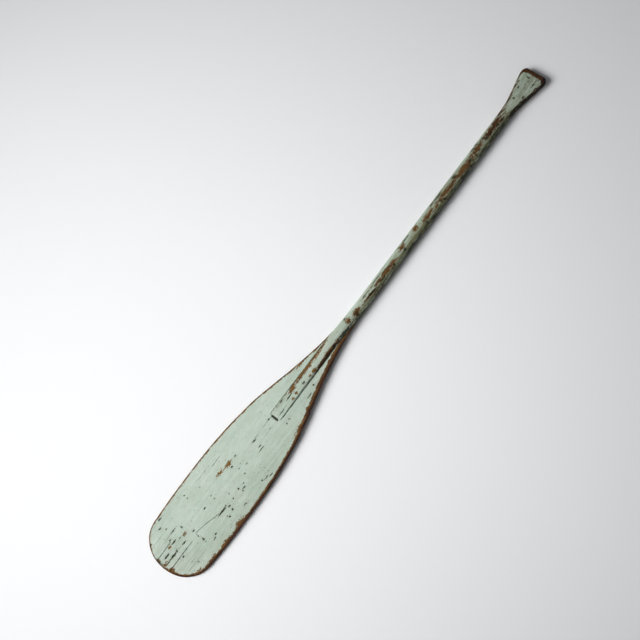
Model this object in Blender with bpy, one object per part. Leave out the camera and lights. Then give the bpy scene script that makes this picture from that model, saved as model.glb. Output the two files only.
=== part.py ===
"""A flat-bladed boat paddle in metres. It lies on its back along X: blade tip at -X, grip at +X, blade face up.

The round shaft is slotted at its lower end. The plywood blade sits in the slot, between two cheeks that are
planed down to thin tongues, and three dowels cross the joint. Two ears glued to the shaft's sides widen the grip.
A station is a distance from the blade's tip along the paddle. A gap of CLEARANCE stands for each glue line.
"""

import math

import bmesh
import bpy

CLEARANCE = 0.0003

# Whole paddle
LENGTH = 1.524
TIP_X = -LENGTH / 2

# Shaft
SHAFT_RADIUS = 0.016
SHAFT_SIDES = 32
ROUND_HALF_HEIGHT = SHAFT_RADIUS * math.cos(math.pi / SHAFT_SIDES)
AXIS_Z = ROUND_HALF_HEIGHT

# Fork: the slotted lower end of the shaft
FORK_END = 0.461
FORK_HALF_HEIGHT_AT_END = 0.0076
FORK_CORNER_RADIUS = 0.0055
PLANING_START = 0.690
FORK_OFFSET = 0.0035
OFFSET_START = 0.800
THROAT = 0.700
SLOT_END = 0.7683

# Blade
VENEER_THICKNESS = 0.0030
BLADE_HALF_THICKNESS = 1.5 * VENEER_THICKNESS + CLEARANCE
BLADE_TOP_END = SLOT_END - CLEARANCE
BLADE_RIM_ROUNDING = 0.0022
BLADE_EDGE = (
    (0.000, 0.0000),
    (0.0092, 0.0436),
    (0.0338, 0.0730),
    (0.0645, 0.0871),
    (0.120, 0.0908),
    (0.203, 0.0920),
    (0.264, 0.0914),
    (0.325, 0.0889),
    (0.375, 0.0846),
    (0.436, 0.0765),
    (0.467, 0.0714),
    (0.528, 0.0567),
    (0.590, 0.0413),
    (0.651, 0.0286),
    (0.694, 0.0217),
    (0.730, 0.0176),
    (BLADE_TOP_END, 0.0155),
)
STEPS_PER_SPAN = 5

# Grip
FACET_START = 1.377
FACET_SLOPE = 0.050
NECK_HALF_WIDTH = 0.0157
FLARE_CROSSING = 1.4165
FLARE_SLOPE = 0.214
FLARE_BLEND = 0.0017
GRIP_HALF_WIDTH = 0.034
GRIP_CORNER_RADIUS = 0.0135
GRIP_NOSE_RADIUS = 0.0078
GRIP_SLANT = 0.075
SLANT_START = 1.440
SLANT_FULL = 1.505
GRIP_STRAIGHT_END = LENGTH - GRIP_SLANT * (GRIP_HALF_WIDTH - GRIP_CORNER_RADIUS)
EAR_START = 1.390
EAR_SEAM = 0.0150

# Dowels across the fork
DOWEL_RADIUS = 0.003
DOWEL_SIDES = 24
DOWEL_STATIONS = (0.505, 0.580, 0.655)
DOWEL_COVER = 0.0011

MINT_PAINT = (0.515, 0.645, 0.546, 1.0)
BROWN_WOOD = (0.255, 0.120, 0.052, 1.0)
PALE_WOOD = (0.480, 0.310, 0.170, 1.0)


def blend(value, low, high):
    """0 below low, 1 above high, and a smooth rise between them."""
    part = min(max((value - low) / (high - low), 0.0), 1.0)
    return part * part * (3.0 - 2.0 * part)


def quarter_round(distance, radius):
    """The share of full size that is left at this distance past the start of a rounded end."""
    part = min(max(distance / radius, 0.0), 1.0)
    return math.sqrt(1.0 - part * part)


def fork_offset(station):
    """How far the fork sits to the +Y side of the shaft's line."""
    return FORK_OFFSET * (1.0 - blend(station, THROAT, OFFSET_START))


def half_width(station):
    """Half the width of the shaft, fork and grip at a station."""
    if station < FORK_END + FORK_CORNER_RADIUS:
        left = FORK_END + FORK_CORNER_RADIUS - station
        return SHAFT_RADIUS - FORK_CORNER_RADIUS * (1.0 - quarter_round(left, FORK_CORNER_RADIUS))
    if station < FACET_START - 0.040:
        return SHAFT_RADIUS
    neck = SHAFT_RADIUS + (NECK_HALF_WIDTH - SHAFT_RADIUS) * blend(station, FACET_START - 0.040, FACET_START)
    flare = neck + FLARE_SLOPE * (station - FLARE_CROSSING)
    middle = (neck + flare) / 2
    width = middle + math.hypot((flare - neck) / 2, FLARE_BLEND) - FLARE_BLEND * 0.2
    width = min(width, GRIP_HALF_WIDTH)
    past_corner = station - (GRIP_STRAIGHT_END - GRIP_CORNER_RADIUS)
    return width - GRIP_CORNER_RADIUS * (1.0 - quarter_round(past_corner, GRIP_CORNER_RADIUS))


def half_height(station):
    """Half the thickness of the shaft, fork and grip, between their planed flats."""
    if station < PLANING_START:
        share = (station - FORK_END) / (PLANING_START - FORK_END)
        return FORK_HALF_HEIGHT_AT_END + share * (ROUND_HALF_HEIGHT - FORK_HALF_HEIGHT_AT_END)
    if station < FACET_START:
        return ROUND_HALF_HEIGHT
    return ROUND_HALF_HEIGHT - FACET_SLOPE * (station - FACET_START)


def shaft_ring(station):
    """One cross-section: an ellipse with its top and bottom planed flat."""
    width = half_width(station)
    slant = GRIP_SLANT * blend(station, SLANT_START, SLANT_FULL)
    nose = quarter_round(station - (GRIP_STRAIGHT_END - GRIP_NOSE_RADIUS), GRIP_NOSE_RADIUS)
    steps = SHAFT_SIDES // 2 - 1
    ring = []
    for side in (1, -1):
        for step in range(steps + 1):
            along = side * (1.0 - 2.0 * step / steps)
            flat = half_height(station - slant * side * width * 0.8) * max(nose, 0.15)
            corner = math.asin(min(flat / SHAFT_RADIUS, 1.0))
            y = side * width * math.cos(along * corner)
            z = SHAFT_RADIUS * math.sin(along * corner)
            x = TIP_X + station - slant * y
            ring.append((x, y + fork_offset(station), z + AXIS_Z))
    return ring


def spaced(start, end, count):
    """Evenly spaced stations from start up to, but not including, end."""
    return [start + (end - start) * step / count for step in range(count)]


def shaft_stations():
    """Stations close together where the section changes fast, and wide apart on the straight shaft."""
    corner_end = FORK_END + FORK_CORNER_RADIUS
    nose_start = GRIP_STRAIGHT_END - GRIP_CORNER_RADIUS
    stations = [corner_end - FORK_CORNER_RADIUS * math.cos(math.radians(angle)) for angle in range(0, 90, 15)]
    stations += spaced(corner_end, PLANING_START, 8)
    stations += spaced(PLANING_START, OFFSET_START, 6)
    stations += spaced(OFFSET_START, FACET_START - 0.040, 10)
    stations += spaced(FACET_START - 0.040, FACET_START, 3)
    stations += spaced(FACET_START, nose_start, 16)
    stations += [nose_start + GRIP_CORNER_RADIUS * math.sin(math.radians(angle)) for angle in range(0, 91, 9)]
    return stations


def new_object(name, form, material, collection):
    """An object from a bmesh, with outward normals and one material."""
    bmesh.ops.recalc_face_normals(form, faces=form.faces)
    mesh = bpy.data.meshes.new(name)
    form.to_mesh(mesh)
    form.free()
    if material:
        mesh.materials.append(material)
    made = bpy.data.objects.new(name, mesh)
    collection.objects.link(made)
    return made


def loft(rings):
    """A closed skin over a row of rings with the same number of points."""
    form = bmesh.new()
    rows = [[form.verts.new(point) for point in ring] for ring in rings]
    count = len(rows[0])
    for low, high in zip(rows, rows[1:]):
        for index in range(count):
            following = (index + 1) % count
            form.faces.new((low[index], low[following], high[following], high[index]))
    form.faces.new(rows[0])
    form.faces.new(rows[-1])
    return form


def block(low, high):
    """A box between two opposite corners."""
    form = bmesh.new()
    bmesh.ops.create_cube(form, size=1.0)
    size = [top - bottom for bottom, top in zip(low, high)]
    middle = [(top + bottom) / 2 for bottom, top in zip(low, high)]
    bmesh.ops.scale(form, vec=size, verts=form.verts)
    bmesh.ops.translate(form, vec=middle, verts=form.verts)
    return form


def rod(x, y, radius, half_length):
    """An upright cylinder centred on the shaft's height."""
    form = bmesh.new()
    bmesh.ops.create_cone(
        form,
        cap_ends=True,
        segments=DOWEL_SIDES,
        radius1=radius,
        radius2=radius,
        depth=2 * half_length,
    )
    bmesh.ops.translate(form, vec=(x, y, AXIS_Z), verts=form.verts)
    return form


def boolean(target, tool, operation):
    modifier = target.modifiers.new(tool.name, "BOOLEAN")
    modifier.operation = operation
    modifier.solver = "EXACT"
    modifier.object = tool


def blade_half_outline():
    """Points (station, half width) down one edge of the blade, on a smooth curve through BLADE_EDGE."""
    mirrored_start = (BLADE_EDGE[1][0], -BLADE_EDGE[1][1])
    points = (mirrored_start,) + BLADE_EDGE + (BLADE_EDGE[-1],)
    outline = []
    for before, start, end, after in zip(points, points[1:], points[2:], points[3:]):
        for step in range(STEPS_PER_SPAN):
            t = step / STEPS_PER_SPAN
            point = []
            for a, b, c, d in zip(before, start, end, after):
                bend = 2 * a - 5 * b + 4 * c - d
                twist = 3 * b - a - 3 * c + d
                point.append(b + 0.5 * t * ((c - a) + t * (bend + t * twist)))
            outline.append(point)
    outline.append(BLADE_EDGE[-1])
    return outline


def ply(name, low, high, rounded, material, collection):
    """One layer of the blade between two heights over the blade's middle plane, with its outer rim eased if asked."""
    half = blade_half_outline()
    edge = [(TIP_X + station, width) for station, width in half]
    edge += [(TIP_X + station, -width) for station, width in reversed(half[1:])]
    form = bmesh.new()
    face = form.faces.new([form.verts.new((x, y, low)) for x, y in edge])
    rise = high - low - (BLADE_RIM_ROUNDING if rounded else 0.0)
    raised = bmesh.ops.extrude_face_region(form, geom=[face])["geom"]
    top = [part for part in raised if isinstance(part, bmesh.types.BMFace)]
    bmesh.ops.translate(form, vec=(0, 0, rise), verts=top[0].verts)
    form.normal_update()
    if rounded:
        for inwards, upwards in ((0.14, 0.50), (0.36, 0.36), (0.50, 0.14)):
            before = top[0].calc_center_median().z
            bmesh.ops.inset_region(form, faces=top, thickness=BLADE_RIM_ROUNDING * inwards, use_even_offset=True)
            level = before + BLADE_RIM_ROUNDING * upwards
            for corner in top[0].verts:
                corner.co.z = level
    return new_object(name, form, material, collection)


def build_material(name, colour, roughness):
    material = bpy.data.materials.new(name)
    material.use_nodes = True
    shader = material.node_tree.nodes["Principled BSDF"]
    shader.inputs["Base Color"].default_value = colour
    shader.inputs["Roughness"].default_value = roughness
    shader.inputs["Metallic"].default_value = 0.0
    material.diffuse_color = colour
    return material


def build_blade(collection, cutters, paint, wood):
    """Three plies, each drilled for the dowels."""
    outer = BLADE_HALF_THICKNESS
    inner = VENEER_THICKNESS / 2
    front = ply("blade_front_veneer", inner + CLEARANCE, outer, True, paint, collection)
    core = ply("blade_core_ply", -inner, inner, False, wood, collection)
    back = ply("blade_back_veneer", inner + CLEARANCE, outer, True, paint, collection)
    back.data.transform(((1, 0, 0, 0), (0, 1, 0, 0), (0, 0, -1, 0), (0, 0, 0, 1)))
    back.data.flip_normals()
    for layer in (front, core, back):
        layer.location.z = AXIS_Z
        for cutter in cutters:
            boolean(layer, cutter, "DIFFERENCE")


def build_dowels(collection, cutter_collection, wood):
    """Dowels that stop just under both cheeks' surfaces, and the cutters for their holes."""
    cutters = []
    for number, station in enumerate(DOWEL_STATIONS, 1):
        reach = half_height(station) - DOWEL_COVER
        x = TIP_X + station
        y = fork_offset(station)
        new_object(f"fork_dowel_{number}", rod(x, y, DOWEL_RADIUS, reach), wood, collection)
        hole = rod(x, y, DOWEL_RADIUS + CLEARANCE, reach + CLEARANCE)
        cutters.append(new_object(f"dowel_hole_{number}", hole, None, cutter_collection))
    return cutters


def build_shaft(collection, cutter_collection, dowel_cutters, paint):
    """The shaft with its slot, its dowel holes and the flat seats for the two ears."""
    shaft = new_object("shaft", loft([shaft_ring(station) for station in shaft_stations()]), paint, collection)
    slot_half = BLADE_HALF_THICKNESS + CLEARANCE
    slot = block(
        (TIP_X + FORK_END - 0.020, -0.050, AXIS_Z - slot_half),
        (TIP_X + SLOT_END, 0.050, AXIS_Z + slot_half),
    )
    boolean(shaft, new_object("blade_slot", slot, None, cutter_collection), "DIFFERENCE")
    for cutter in dowel_cutters:
        boolean(shaft, cutter, "DIFFERENCE")
    for side, label in ((1, "left"), (-1, "right")):
        near, far = sorted((side * EAR_SEAM, side * 0.060))
        seat = block((TIP_X + EAR_START - CLEARANCE, near, -0.030), (LENGTH, far, 0.070))
        boolean(shaft, new_object(f"ear_seat_{label}", seat, None, cutter_collection), "DIFFERENCE")


def build_ears(collection, cutter_collection, paint):
    """Two ears with the outer shape of the whole grip, each kept to its own side of the shaft."""
    stations = [station for station in shaft_stations() if station > FACET_START - 0.020]
    for side, label in ((1, "left"), (-1, "right")):
        form = loft([shaft_ring(station) for station in stations])
        ear = new_object(f"grip_ear_{label}", form, paint, collection)
        near, far = sorted((side * (EAR_SEAM + CLEARANCE), side * 0.060))
        keep = block((TIP_X + EAR_START, near, -0.030), (LENGTH, far, 0.070))
        boolean(ear, new_object(f"ear_side_{label}", keep, None, cutter_collection), "INTERSECT")


def clear_scene():
    for existing in list(bpy.data.objects):
        bpy.data.objects.remove(existing, do_unlink=True)


def main():
    clear_scene()
    scene_root = bpy.context.scene.collection
    paddle = bpy.data.collections.new("paddle")
    cutters = bpy.data.collections.new("cutters")
    scene_root.children.link(paddle)
    scene_root.children.link(cutters)
    cutters.hide_render = True

    paint = build_material("mint_paint", MINT_PAINT, 0.62)
    core_wood = build_material("brown_core_wood", BROWN_WOOD, 0.75)
    dowel_wood = build_material("pale_dowel_wood", PALE_WOOD, 0.70)

    dowel_cutters = build_dowels(paddle, cutters, dowel_wood)
    build_shaft(paddle, cutters, dowel_cutters, paint)
    build_ears(paddle, cutters, paint)
    build_blade(paddle, dowel_cutters, paint, core_wood)

    for helper in cutters.objects:
        helper.hide_render = True
        helper.display_type = "WIRE"


main()
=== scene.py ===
"""The looks of the mint painted paddle: worn paint over brown wood, on a pale floor in soft studio light.

The CAD gives the frame: the blade's tip is at -X, the grip at +X and the blade's front face is up. A station
is a distance from the tip along the paddle, and a place across is positive towards +Y. Both are in metres,
except in the lists of marks, which are in millimetres.
"""

import math

import bmesh
import bpy
import numpy as np
from mathutils import Matrix, Vector, kdtree, noise
from mathutils.geometry import delaunay_2d_cdt


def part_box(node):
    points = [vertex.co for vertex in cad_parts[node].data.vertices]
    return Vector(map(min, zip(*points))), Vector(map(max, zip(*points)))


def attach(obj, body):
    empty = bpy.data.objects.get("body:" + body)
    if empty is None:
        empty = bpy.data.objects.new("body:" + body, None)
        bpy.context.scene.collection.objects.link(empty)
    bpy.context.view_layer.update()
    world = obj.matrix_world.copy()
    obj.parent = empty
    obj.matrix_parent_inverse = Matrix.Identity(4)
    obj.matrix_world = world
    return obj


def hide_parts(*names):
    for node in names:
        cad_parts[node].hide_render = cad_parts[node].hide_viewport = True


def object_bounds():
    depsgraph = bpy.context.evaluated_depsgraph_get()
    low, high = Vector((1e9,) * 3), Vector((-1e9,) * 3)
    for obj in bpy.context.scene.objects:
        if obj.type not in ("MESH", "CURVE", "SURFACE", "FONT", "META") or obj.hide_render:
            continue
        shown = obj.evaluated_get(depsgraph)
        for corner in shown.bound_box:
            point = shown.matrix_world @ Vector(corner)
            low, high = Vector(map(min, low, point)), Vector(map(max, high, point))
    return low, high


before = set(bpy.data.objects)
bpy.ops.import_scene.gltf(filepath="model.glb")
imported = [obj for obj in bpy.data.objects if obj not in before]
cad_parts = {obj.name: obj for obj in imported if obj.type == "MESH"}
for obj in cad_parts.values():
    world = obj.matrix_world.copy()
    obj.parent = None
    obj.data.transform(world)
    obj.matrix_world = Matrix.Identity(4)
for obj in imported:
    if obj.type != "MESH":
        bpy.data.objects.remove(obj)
cad_low, cad_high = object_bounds()
shaft_low, shaft_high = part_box("shaft")
_, blade_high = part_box("blade_front_veneer")
_, core_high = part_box("blade_core_ply")
blade_back_low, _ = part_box("blade_back_veneer")
ear_low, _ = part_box("grip_ear_left")

MM = 0.001
TIP_X = cad_low.x
LENGTH = cad_high.x - cad_low.x
AXIS_Z = (shaft_low.z + shaft_high.z) / 2
SHAFT_RADIUS = (shaft_high.z - shaft_low.z) / 2

# Fork
FORK_END = shaft_low.x - TIP_X
FORK_HALF_HEIGHT_AT_END = 7.6 * MM
FORK_CORNER_RADIUS = 5.5 * MM
FORK_EDGE_RADIUS = 0.9 * MM
FORK_OFFSET = 3.5 * MM
PLANING_START = 0.690
OFFSET_START = 0.800
THROAT = 0.700
SLOT_END = blade_high.x - TIP_X

# Blade
FACE_HEIGHT = blade_high.z - AXIS_Z
CORE_HEIGHT = core_high.z - AXIS_Z
FORK_SHARE_ON_FACE = math.sqrt(1.0 - (FACE_HEIGHT / SHAFT_RADIUS) ** 2)
RIM_RADIUS = 3.4 * MM
RIM_HEIGHT = 2.5 * MM
GLUE_LINE = 0.1 * MM
BLADE_HALF_WIDTH = blade_high.y
BLADE_EDGE = (
    (0.000, 0.0000),
    (0.0092, 0.0436),
    (0.0338, 0.0730),
    (0.0645, 0.0871),
    (0.120, 0.0908),
    (0.203, BLADE_HALF_WIDTH),
    (0.264, 0.0914),
    (0.325, 0.0889),
    (0.375, 0.0846),
    (0.436, 0.0765),
    (0.467, 0.0714),
    (0.528, 0.0567),
    (0.590, 0.0413),
    (0.651, 0.0286),
    (0.694, 0.0217),
    (0.730, 0.0176),
    (SLOT_END, 0.0155),
)

# Grip
FACET_START = 1.377
FACET_SLOPE = 0.050
NECK_HALF_WIDTH = 15.7 * MM
FLARE_CROSSING = 1.4165
FLARE_SLOPE = 0.214
FLARE_BLEND = 1.7 * MM
GRIP_HALF_WIDTH = 34.0 * MM
GRIP_CORNER_RADIUS = 13.5 * MM
GRIP_NOSE_RADIUS = 7.8 * MM
GRIP_SLANT = 0.075
SLANT_START = 1.440
SLANT_FULL = 1.505
GRIP_STRAIGHT_END = LENGTH - GRIP_SLANT * (GRIP_HALF_WIDTH - GRIP_CORNER_RADIUS)
EAR_START = ear_low.x - TIP_X
EAR_SEAM = ear_low.y - 0.15 * MM

# Marks on the blade's front face: (station, across, length, width), in millimetres
BLADE_CHIPS = (
    (330, -9, 5, 3), (327, 26, 5, 3), (321, 4, 3, 2), (308, -1, 4, 2), (308, -20, 4, 3), (301, 16, 6, 3),
    (280, -39, 8, 3), (272, -41, 4, 3), (269, -30, 3, 5), (288, -32, 4, 2), (244, -18, 4, 3),
    (243, -34, 4, 4), (220, -49, 5, 5), (222, -38, 6, 4), (217, -30, 4, 3), (203, -55, 4, 4),
    (199, -49, 3, 3), (321, -64, 4, 3), (333, -68, 13, 2), (345, -73, 8, 2), (250, -66, 11, 2.4),
    (213, 14, 4, 2), (213, 3, 3, 2), (212, 49, 5, 2), (180, 8, 6, 3), (172, 68, 4, 3), (172, 57, 3, 3),
    (119, -3, 6, 5), (117, -20, 2.5, 8), (119, -36, 4, 11), (108, 26, 4, 5), (81, -3, 10, 3),
    (85, 13, 6, 4), (71, 66, 7, 3), (88, 81, 12, 3), (26, 59, 7, 4), (80, 53, 5, 2), (55, -22, 5, 4),
    (68, -60, 5, 3), (138, -57, 9, 2.4), (148, -52, 5, 3), (64, 29, 7, 3), (448, 14, 5, 3),
    (433, -2, 4, 2), (384, 10, 9, 2.4), (384, -9, 8, 2.4), (380, -16, 18, 2), (582, -24, 4, 4),
    (557, -32, 18, 2), (481, -26, 4, 3), (468, -28, 4, 3), (200, -32, 23, 3.6), (41, -2, 34, 4),
    (31, 11, 15, 4), (67, 18, 17, 3), (87, 37, 17, 2.4), (6, 30, 5, 46),
)
BLADE_BARE = (
    (11, 2, 17, 8), (10, -21, 12, 15), (9, 20, 5, 9), (50, 19, 10, 5), (99, 9, 10, 7), (208, -83, 30, 10),
    (300, 27, 20, 8), (270, 30, 22, 7), (148, -84, 26, 7), (95, -83, 40, 7), (45, -75, 26, 8),
    (527, -48, 5, 10), (478, -63, 30, 11), (609, 34, 42, 5), (690, -20, 40, 5), (640, -30, 60, 5),
    (580, -43, 60, 4), (36, 75, 14, 4), (350, -86, 40, 5), (420, -77, 40, 5),
)
# Splits in the front face, as points (station, across), with their width in millimetres
BLADE_SPLITS = (
    (((206, -34), (157, -19), (118, -11)), 0.9),
    (((97, -17), (74, -16.7)), 1.1),
    (((75, -16.7), (40, -17), (6, -17.4)), 2.3),
    (((62, 24.5), (30, 24.2), (4, 24)), 1.6),
    (((59, 2), (43, -3), (30, -1), (16, -2)), 1.7),
    (((455, 13), (375, 12)), 0.5),
    (((455, -4), (392, -4)), 0.4),
    (((268, 64), (224, 63)), 0.4),
    (((301, 56), (272, 56)), 0.5),
)
# Marks on the front of the shaft, fork and grip
SHAFT_BARE = (
    (604, 19, 116, 15), (543, 13, 20, 12), (672, 17, 32, 6), (672, -7, 34, 8), (640, -8.5, 36, 7),
    (612, -4, 12, 8), (702, -7.5, 18, 7), (790, -1, 20, 10), (785, -4, 8, 14), (759, 2, 13, 11),
    (840, -3, 50, 4), (880, 0, 22, 6), (918, 0, 62, 10), (980, 6, 20, 9), (1038, 7, 16, 11),
    (1082, 1, 42, 9), (1113, -2, 14, 5), (1160, 0, 84, 9), (1228, 0, 66, 11), (1280, 3, 40, 11),
    (1330, 3, 34, 12), (1364, 4, 42, 15), (1348, 2, 26, 12), (595, -4, 6, 5), (541, -3, 6, 5),
    (525, -4, 6, 5),
)
# Patches worn right through, on the tongue and the throat
TONGUE_BARE = ((606, 19, 100, 12.5), (674, -7, 28, 6), (642, -8.5, 30, 5))
SHAFT_DARK = (
    (572, -2, 7, 4), (500, 15, 28, 2.6), (523, 6, 18, 2.8), (483, -2, 15, 2.4), (728, -7, 12, 5),
    (757, 13, 5, 4), (786, -5, 12, 6), (836, 6.5, 22, 2.4), (846, -4, 34, 3.4), (880, 8.5, 34, 2),
    (894, -4, 30, 3.4), (936, -5, 8, 5), (981, -5, 9, 5), (1000, 11, 27, 3), (1067, -5.5, 7, 5),
    (1108, 10, 10, 4), (1129, -5.5, 6, 5), (1138, -7, 7, 5), (1134, 10, 25, 3.4), (1193, 8, 12, 5),
    (1251, -1, 11, 6), (1272, -6, 7, 5), (1277, 12, 10, 4), (1291, 12, 8, 4), (1318, 0.5, 12, 5),
    (1334, -1.5, 9, 6), (1361, -2.5, 9, 6), (1378, -2.5, 10, 6), (1310, 9, 30, 2), (1345, -9, 40, 3),
)
GRIP_DARK = (
    (1500, 8, 3, 8), (1493, -12, 20, 2), (1466, 13, 5, 3), (1452, -10, 7, 3), (1482, 4, 4, 3),
    (1437, 6, 4, 5),
)
GRIP_BARE = (
    (1440, 19, 26, 7), (1415, 15, 40, 6), (1440, -20, 30, 11), (1412, -16, 34, 10), (1393, 12, 22, 7),
    (1465, 23, 30, 5), (1488, 30, 30, 5), (1470, -24, 40, 6), (1495, -31, 24, 6),
)
# Nicks in the blade's edge: (station, side, length, depth)
EDGE_NICKS = (
    (527, -1, 7, 1.2), (478, -1, 22, 1.0), (208, -1, 24, 0.7), (250, -1, 9, 0.5), (90, -1, 14, 0.6),
    (12, 1, 20, 0.5), (88, 1, 12, 0.5), (340, 1, 16, 0.5), (420, 1, 12, 0.4), (9, -1, 18, 0.7),
)

# Rows of points on the blade's face, in millimetres from the rim and in widths of a split
RIM_RINGS = (0.35, 0.8, 1.3, 1.9, 2.6, 3.5, 4.8)
SPLIT_ROWS = (-1.6, -0.8, -0.4, 0, 0.4, 0.8, 1.6)

# Colours
MINT_PALE = (0.585, 0.718, 0.655, 1)
MINT_DEEP = (0.458, 0.628, 0.556, 1)
MINT_STREAK = (0.535, 0.610, 0.575, 1)
MINT_MOTTLE = (0.385, 0.510, 0.430, 1)
# Dirt on the paint; the same colour also paints shade over the -Y side.
GREEN_DIRT_AND_SHADE = (0.062, 0.092, 0.038, 1)
# Darker paint round chips; it also paints shade over the shaft's -Y side.
CHIP_HALO_AND_SHADE = (0.20, 0.22, 0.13, 1)
YELLOWED_PAINT = (0.42, 0.36, 0.20, 1)
WORN_BORDER = (0.22, 0.19, 0.09, 1)
CRACK_LINE = (0.130, 0.160, 0.105, 1)
FLECK = (0.080, 0.095, 0.055, 1)
# The dark undercoat shows in chips; it is also painted shade on the shaft's -Y side and a painted shadow in
# the gap past the fork's end.
UNDERCOAT_AND_SHADE_DARK = (0.007, 0.009, 0.005, 1)
UNDERCOAT_AND_SHADE_LIGHT = (0.044, 0.050, 0.025, 1)
STAINED_WOOD = (0.014, 0.010, 0.006, 1)
WOOD_DEEP = (0.105, 0.053, 0.012, 1)
WOOD_PALE = (0.300, 0.162, 0.044, 1)
WOOD_FIGURE = (0.095, 0.038, 0.010, 1)
# Aged wood, near black; it also paints shade on bare wood along the -Y side.
AGED_AND_SHADED_WOOD_DEEP = (0.011, 0.004, 0.0015, 1)
AGED_AND_SHADED_WOOD_PALE = (0.070, 0.022, 0.006, 1)
CORE_PALE = (0.30, 0.155, 0.06, 1)
CORE_DEEP = (0.040, 0.014, 0.006, 1)
DOWEL_PALE = (0.55, 0.36, 0.19, 1)
DOWEL_DEEP = (0.30, 0.17, 0.08, 1)
FLOOR_WHITE = (0.90, 0.905, 0.915, 1)
BLACK = (0, 0, 0, 1)

# Stage: angles are in degrees, and the camera's lens and sensor in millimetres
ROOM_COLOUR = (0.95, 0.97, 1.0, 1)
ROOM_BRIGHTNESS = 0.80
ROOM_LIGHT = 0.13
SOFT_BOX_SIZE = 2.6
SOFT_BOX_SPREAD = 61
SOFT_BOX_WATTS = 28.9
SOFT_BOX_PLACE = (-2.044, 1.322, 2.2)
SOFT_BOX_AIM = (-0.459, 0.262, 0.0)
FLOOR_REACH = 12.0
GLOW_START = 1.22
GLOW_FULL = 1.9
CAMERA_TIP = 10
CAMERA_TURN = 36.98
CAMERA_DISTANCE = 2.8
CAMERA_LENS = 63.87
CAMERA_SENSOR = 36
CAMERA_AIM = (0.0018, 0.0014)
CAMERA_SIDE_STEP = 0.075

SEED_FRONT = 3.1
SEED_BACK = 17.7
SEED_SHAFT = 29.3
SEED_CORE = 41.0


# ---- shapes


def blend(value, low, high):
    """0 at low and before it, 1 at high and past it, and smooth between them. low may be the larger."""
    part = np.clip((value - low) / (high - low), 0.0, 1.0)
    return part * part * (3.0 - 2.0 * part)


def quarter_round(distance, radius):
    """The share of full size that is left at this distance past the start of a rounded end."""
    part = np.clip(distance / radius, 0.0, 1.0)
    return np.sqrt(1.0 - part * part)


def ripple(points, size, stretch, seed, octaves=3):
    """Fractal noise at each point, about -1 to 1. A lump is size wide and stretch times as long."""
    scale = np.array((1.0 / (size * stretch), 1.0 / size, 1.0 / size))
    places = points * scale + seed
    return np.array([noise.fractal(place, 1.0, 2.0, octaves) for place in places.tolist()])


def torn(places, seed, size=2.6 * MM):
    """Noise that tears the outlines of marks, drawn out along the grain."""
    coarse = ripple(places, size, 3.5, seed)
    return 0.6 * coarse + 0.5 * ripple(places, 0.4 * size, 3.0, seed + 2.3, 2)


def wear_field(places, marks, seed):
    """The marks with torn outlines. Above 0.5 the mark shows. Each place is (station, across, height)."""
    cover = marked(places[:, 0], places[:, 1], marks, 1.25)
    return cover + 0.85 * torn(places, seed) * blend(cover, 0.03, 0.45)


def fork_offset(station):
    """How far the fork sits to the +Y side of the shaft's line."""
    return FORK_OFFSET * (1.0 - blend(station, THROAT, OFFSET_START))


def half_width(station):
    """Half the width of the shaft, fork and grip."""
    fork_corner = quarter_round(FORK_END + FORK_CORNER_RADIUS - station, FORK_CORNER_RADIUS)
    shaft = SHAFT_RADIUS - FORK_CORNER_RADIUS * (1.0 - fork_corner)
    neck = shaft + (NECK_HALF_WIDTH - SHAFT_RADIUS) * blend(station, FACET_START - 0.040, FACET_START)
    flare = neck + FLARE_SLOPE * (station - FLARE_CROSSING)
    flared = (neck + flare) / 2 + np.hypot((flare - neck) / 2, FLARE_BLEND) - FLARE_BLEND * 0.2
    width = np.where(station < FACET_START - 0.040, shaft, np.minimum(flared, GRIP_HALF_WIDTH))
    past_corner = station - (GRIP_STRAIGHT_END - GRIP_CORNER_RADIUS)
    return width - GRIP_CORNER_RADIUS * (1.0 - quarter_round(past_corner, GRIP_CORNER_RADIUS))


def half_height(station):
    """Half the thickness between the planed flats."""
    share = (station - FORK_END) / (PLANING_START - FORK_END)
    fork = FORK_HALF_HEIGHT_AT_END + share * (SHAFT_RADIUS - FORK_HALF_HEIGHT_AT_END)
    edge = FORK_EDGE_RADIUS * (1.0 - quarter_round(FORK_END + FORK_EDGE_RADIUS - station, FORK_EDGE_RADIUS))
    grip = SHAFT_RADIUS - FACET_SLOPE * (station - FACET_START)
    return np.minimum(np.minimum(fork - edge, grip), SHAFT_RADIUS * 1.02)


def blade_edge_curve():
    """Close points (station, half width) down the blade's edge, on a smooth curve through BLADE_EDGE."""
    mirrored_start = (BLADE_EDGE[1][0], -BLADE_EDGE[1][1])
    points = np.array((mirrored_start,) + BLADE_EDGE + (BLADE_EDGE[-1],))
    steps = np.linspace(0, 1, 40, endpoint=False)[:, None]
    spans = []
    for a, b, c, d in zip(points, points[1:], points[2:], points[3:]):
        bend = 2 * a - 5 * b + 4 * c - d
        twist = 3 * b - a - 3 * c + d
        spans.append(b + 0.5 * steps * ((c - a) + steps * (bend + steps * twist)))
    return np.vstack(spans + [points[-1:]])


def resampled(line, step):
    """The same line with its points about one step apart."""
    lengths = np.concatenate([[0], np.cumsum(np.linalg.norm(np.diff(line, axis=0), axis=1))])
    places = np.linspace(0, lengths[-1], max(2, round(lengths[-1] / step) + 1))
    return np.column_stack([np.interp(places, lengths, line[:, axis]) for axis in range(line.shape[1])])


def distance_to_line(points, line):
    """How far each point is from a line of straight stretches."""
    nearest = np.full(len(points), 1e9)
    for start, end in zip(line, line[1:]):
        run = end - start
        share = np.clip((points - start) @ run / (run @ run), 0, 1)
        nearest = np.minimum(nearest, np.linalg.norm(points - start - share[:, None] * run, axis=1))
    return nearest


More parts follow.
